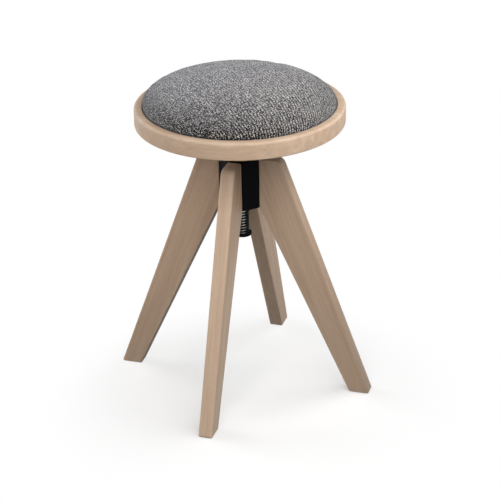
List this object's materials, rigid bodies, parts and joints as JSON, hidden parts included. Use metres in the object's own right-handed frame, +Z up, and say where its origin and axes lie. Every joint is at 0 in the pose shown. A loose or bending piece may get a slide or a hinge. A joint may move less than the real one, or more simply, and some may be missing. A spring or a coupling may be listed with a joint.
{
  "type": "piano stool",
  "caption": "Revolving stool: a round wooden seat with an inset domed cushion, turned up and down on a lead screw in a steel hub between splayed board legs",
  "frame": {"origin": "on the floor under the spindle's axis, the middle of the four soles", "axes": "+Z is up along the spindle, -Y is out to the front leg and +X out to the right leg"},
  "size_m": [0.4512, 0.4512, 0.5564],
  "materials": {
    "pale_wood": "pale matt-lacquered hardwood, fine grain",
    "plywood": "raw plywood",
    "black_coat": "matt black powder coat on steel",
    "spindle_steel": "blackened oiled steel",
    "zinc_steel": "zinc plated",
    "nut_brass": "machined brass",
    "black_nylon": "moulded, matt",
    "black_rubber": "matt",
    "tweed": "woven salt-and-pepper tweed, twill ribs",
    "foam": "open-cell foam, unseen"
  },
  "bodies": {
    "base": {"hub": "black_coat", "spindle_nut": "nut_brass", "guide_bush": "black_nylon", "nut_screw_1": "zinc_steel", "nut_screw_2": "zinc_steel", "nut_screw_3": "zinc_steel", "nut_screw_4": "zinc_steel", "leg_front": "pale_wood", "leg_bolt_front_upper": "zinc_steel", "leg_insert_front_upper": "zinc_steel", "leg_bolt_front_lower": "zinc_steel", "leg_insert_front_lower": "zinc_steel", "leg_right": "pale_wood", "leg_bolt_right_upper": "zinc_steel", "leg_insert_right_upper": "zinc_steel", "leg_bolt_right_lower": "zinc_steel", "leg_insert_right_lower": "zinc_steel", "leg_back": "pale_wood", "leg_bolt_back_upper": "zinc_steel", "leg_insert_back_upper": "zinc_steel", "leg_bolt_back_lower": "zinc_steel", "leg_insert_back_lower": "zinc_steel", "leg_left": "pale_wood", "leg_bolt_left_upper": "zinc_steel", "leg_insert_left_upper": "zinc_steel", "leg_bolt_left_lower": "zinc_steel", "leg_insert_left_lower": "zinc_steel"},
    "stop": {"buffer_ring": "black_rubber"},
    "seat": {"seat_pan": "pale_wood", "seat_plate": "black_coat", "spindle": "spindle_steel", "lock_nut": "zinc_steel", "grub_screw": "spindle_steel", "end_disc": "black_coat", "end_screw": "zinc_steel", "cushion_board": "plywood", "cushion_foam": "foam", "cushion_cover": "tweed", "plate_screw_1": "zinc_steel", "plate_screw_2": "zinc_steel", "plate_screw_3": "zinc_steel", "plate_screw_4": "zinc_steel", "plate_screw_5": "zinc_steel", "plate_screw_6": "zinc_steel", "cushion_screw_1": "zinc_steel", "cushion_screw_2": "zinc_steel", "cushion_screw_3": "zinc_steel", "cushion_screw_4": "zinc_steel"}
  },
  "joints": [
    {"name": "spindle_rise", "type": "slide", "parent": "base", "child": "stop", "axis": [0, 0, 1], "range_m": [-0.042, 0.053]},
    {"name": "seat_turn", "type": "hinge", "parent": "stop", "child": "seat", "pos_m": [0, 0, 0.48], "axis": [0, 0, 1], "range_deg": [-3024, 3816]}
  ],
  "couplings": [
    {"joint": "spindle_rise", "follows": "seat_turn", "m_per_rad": 0.00079577}
  ]
}
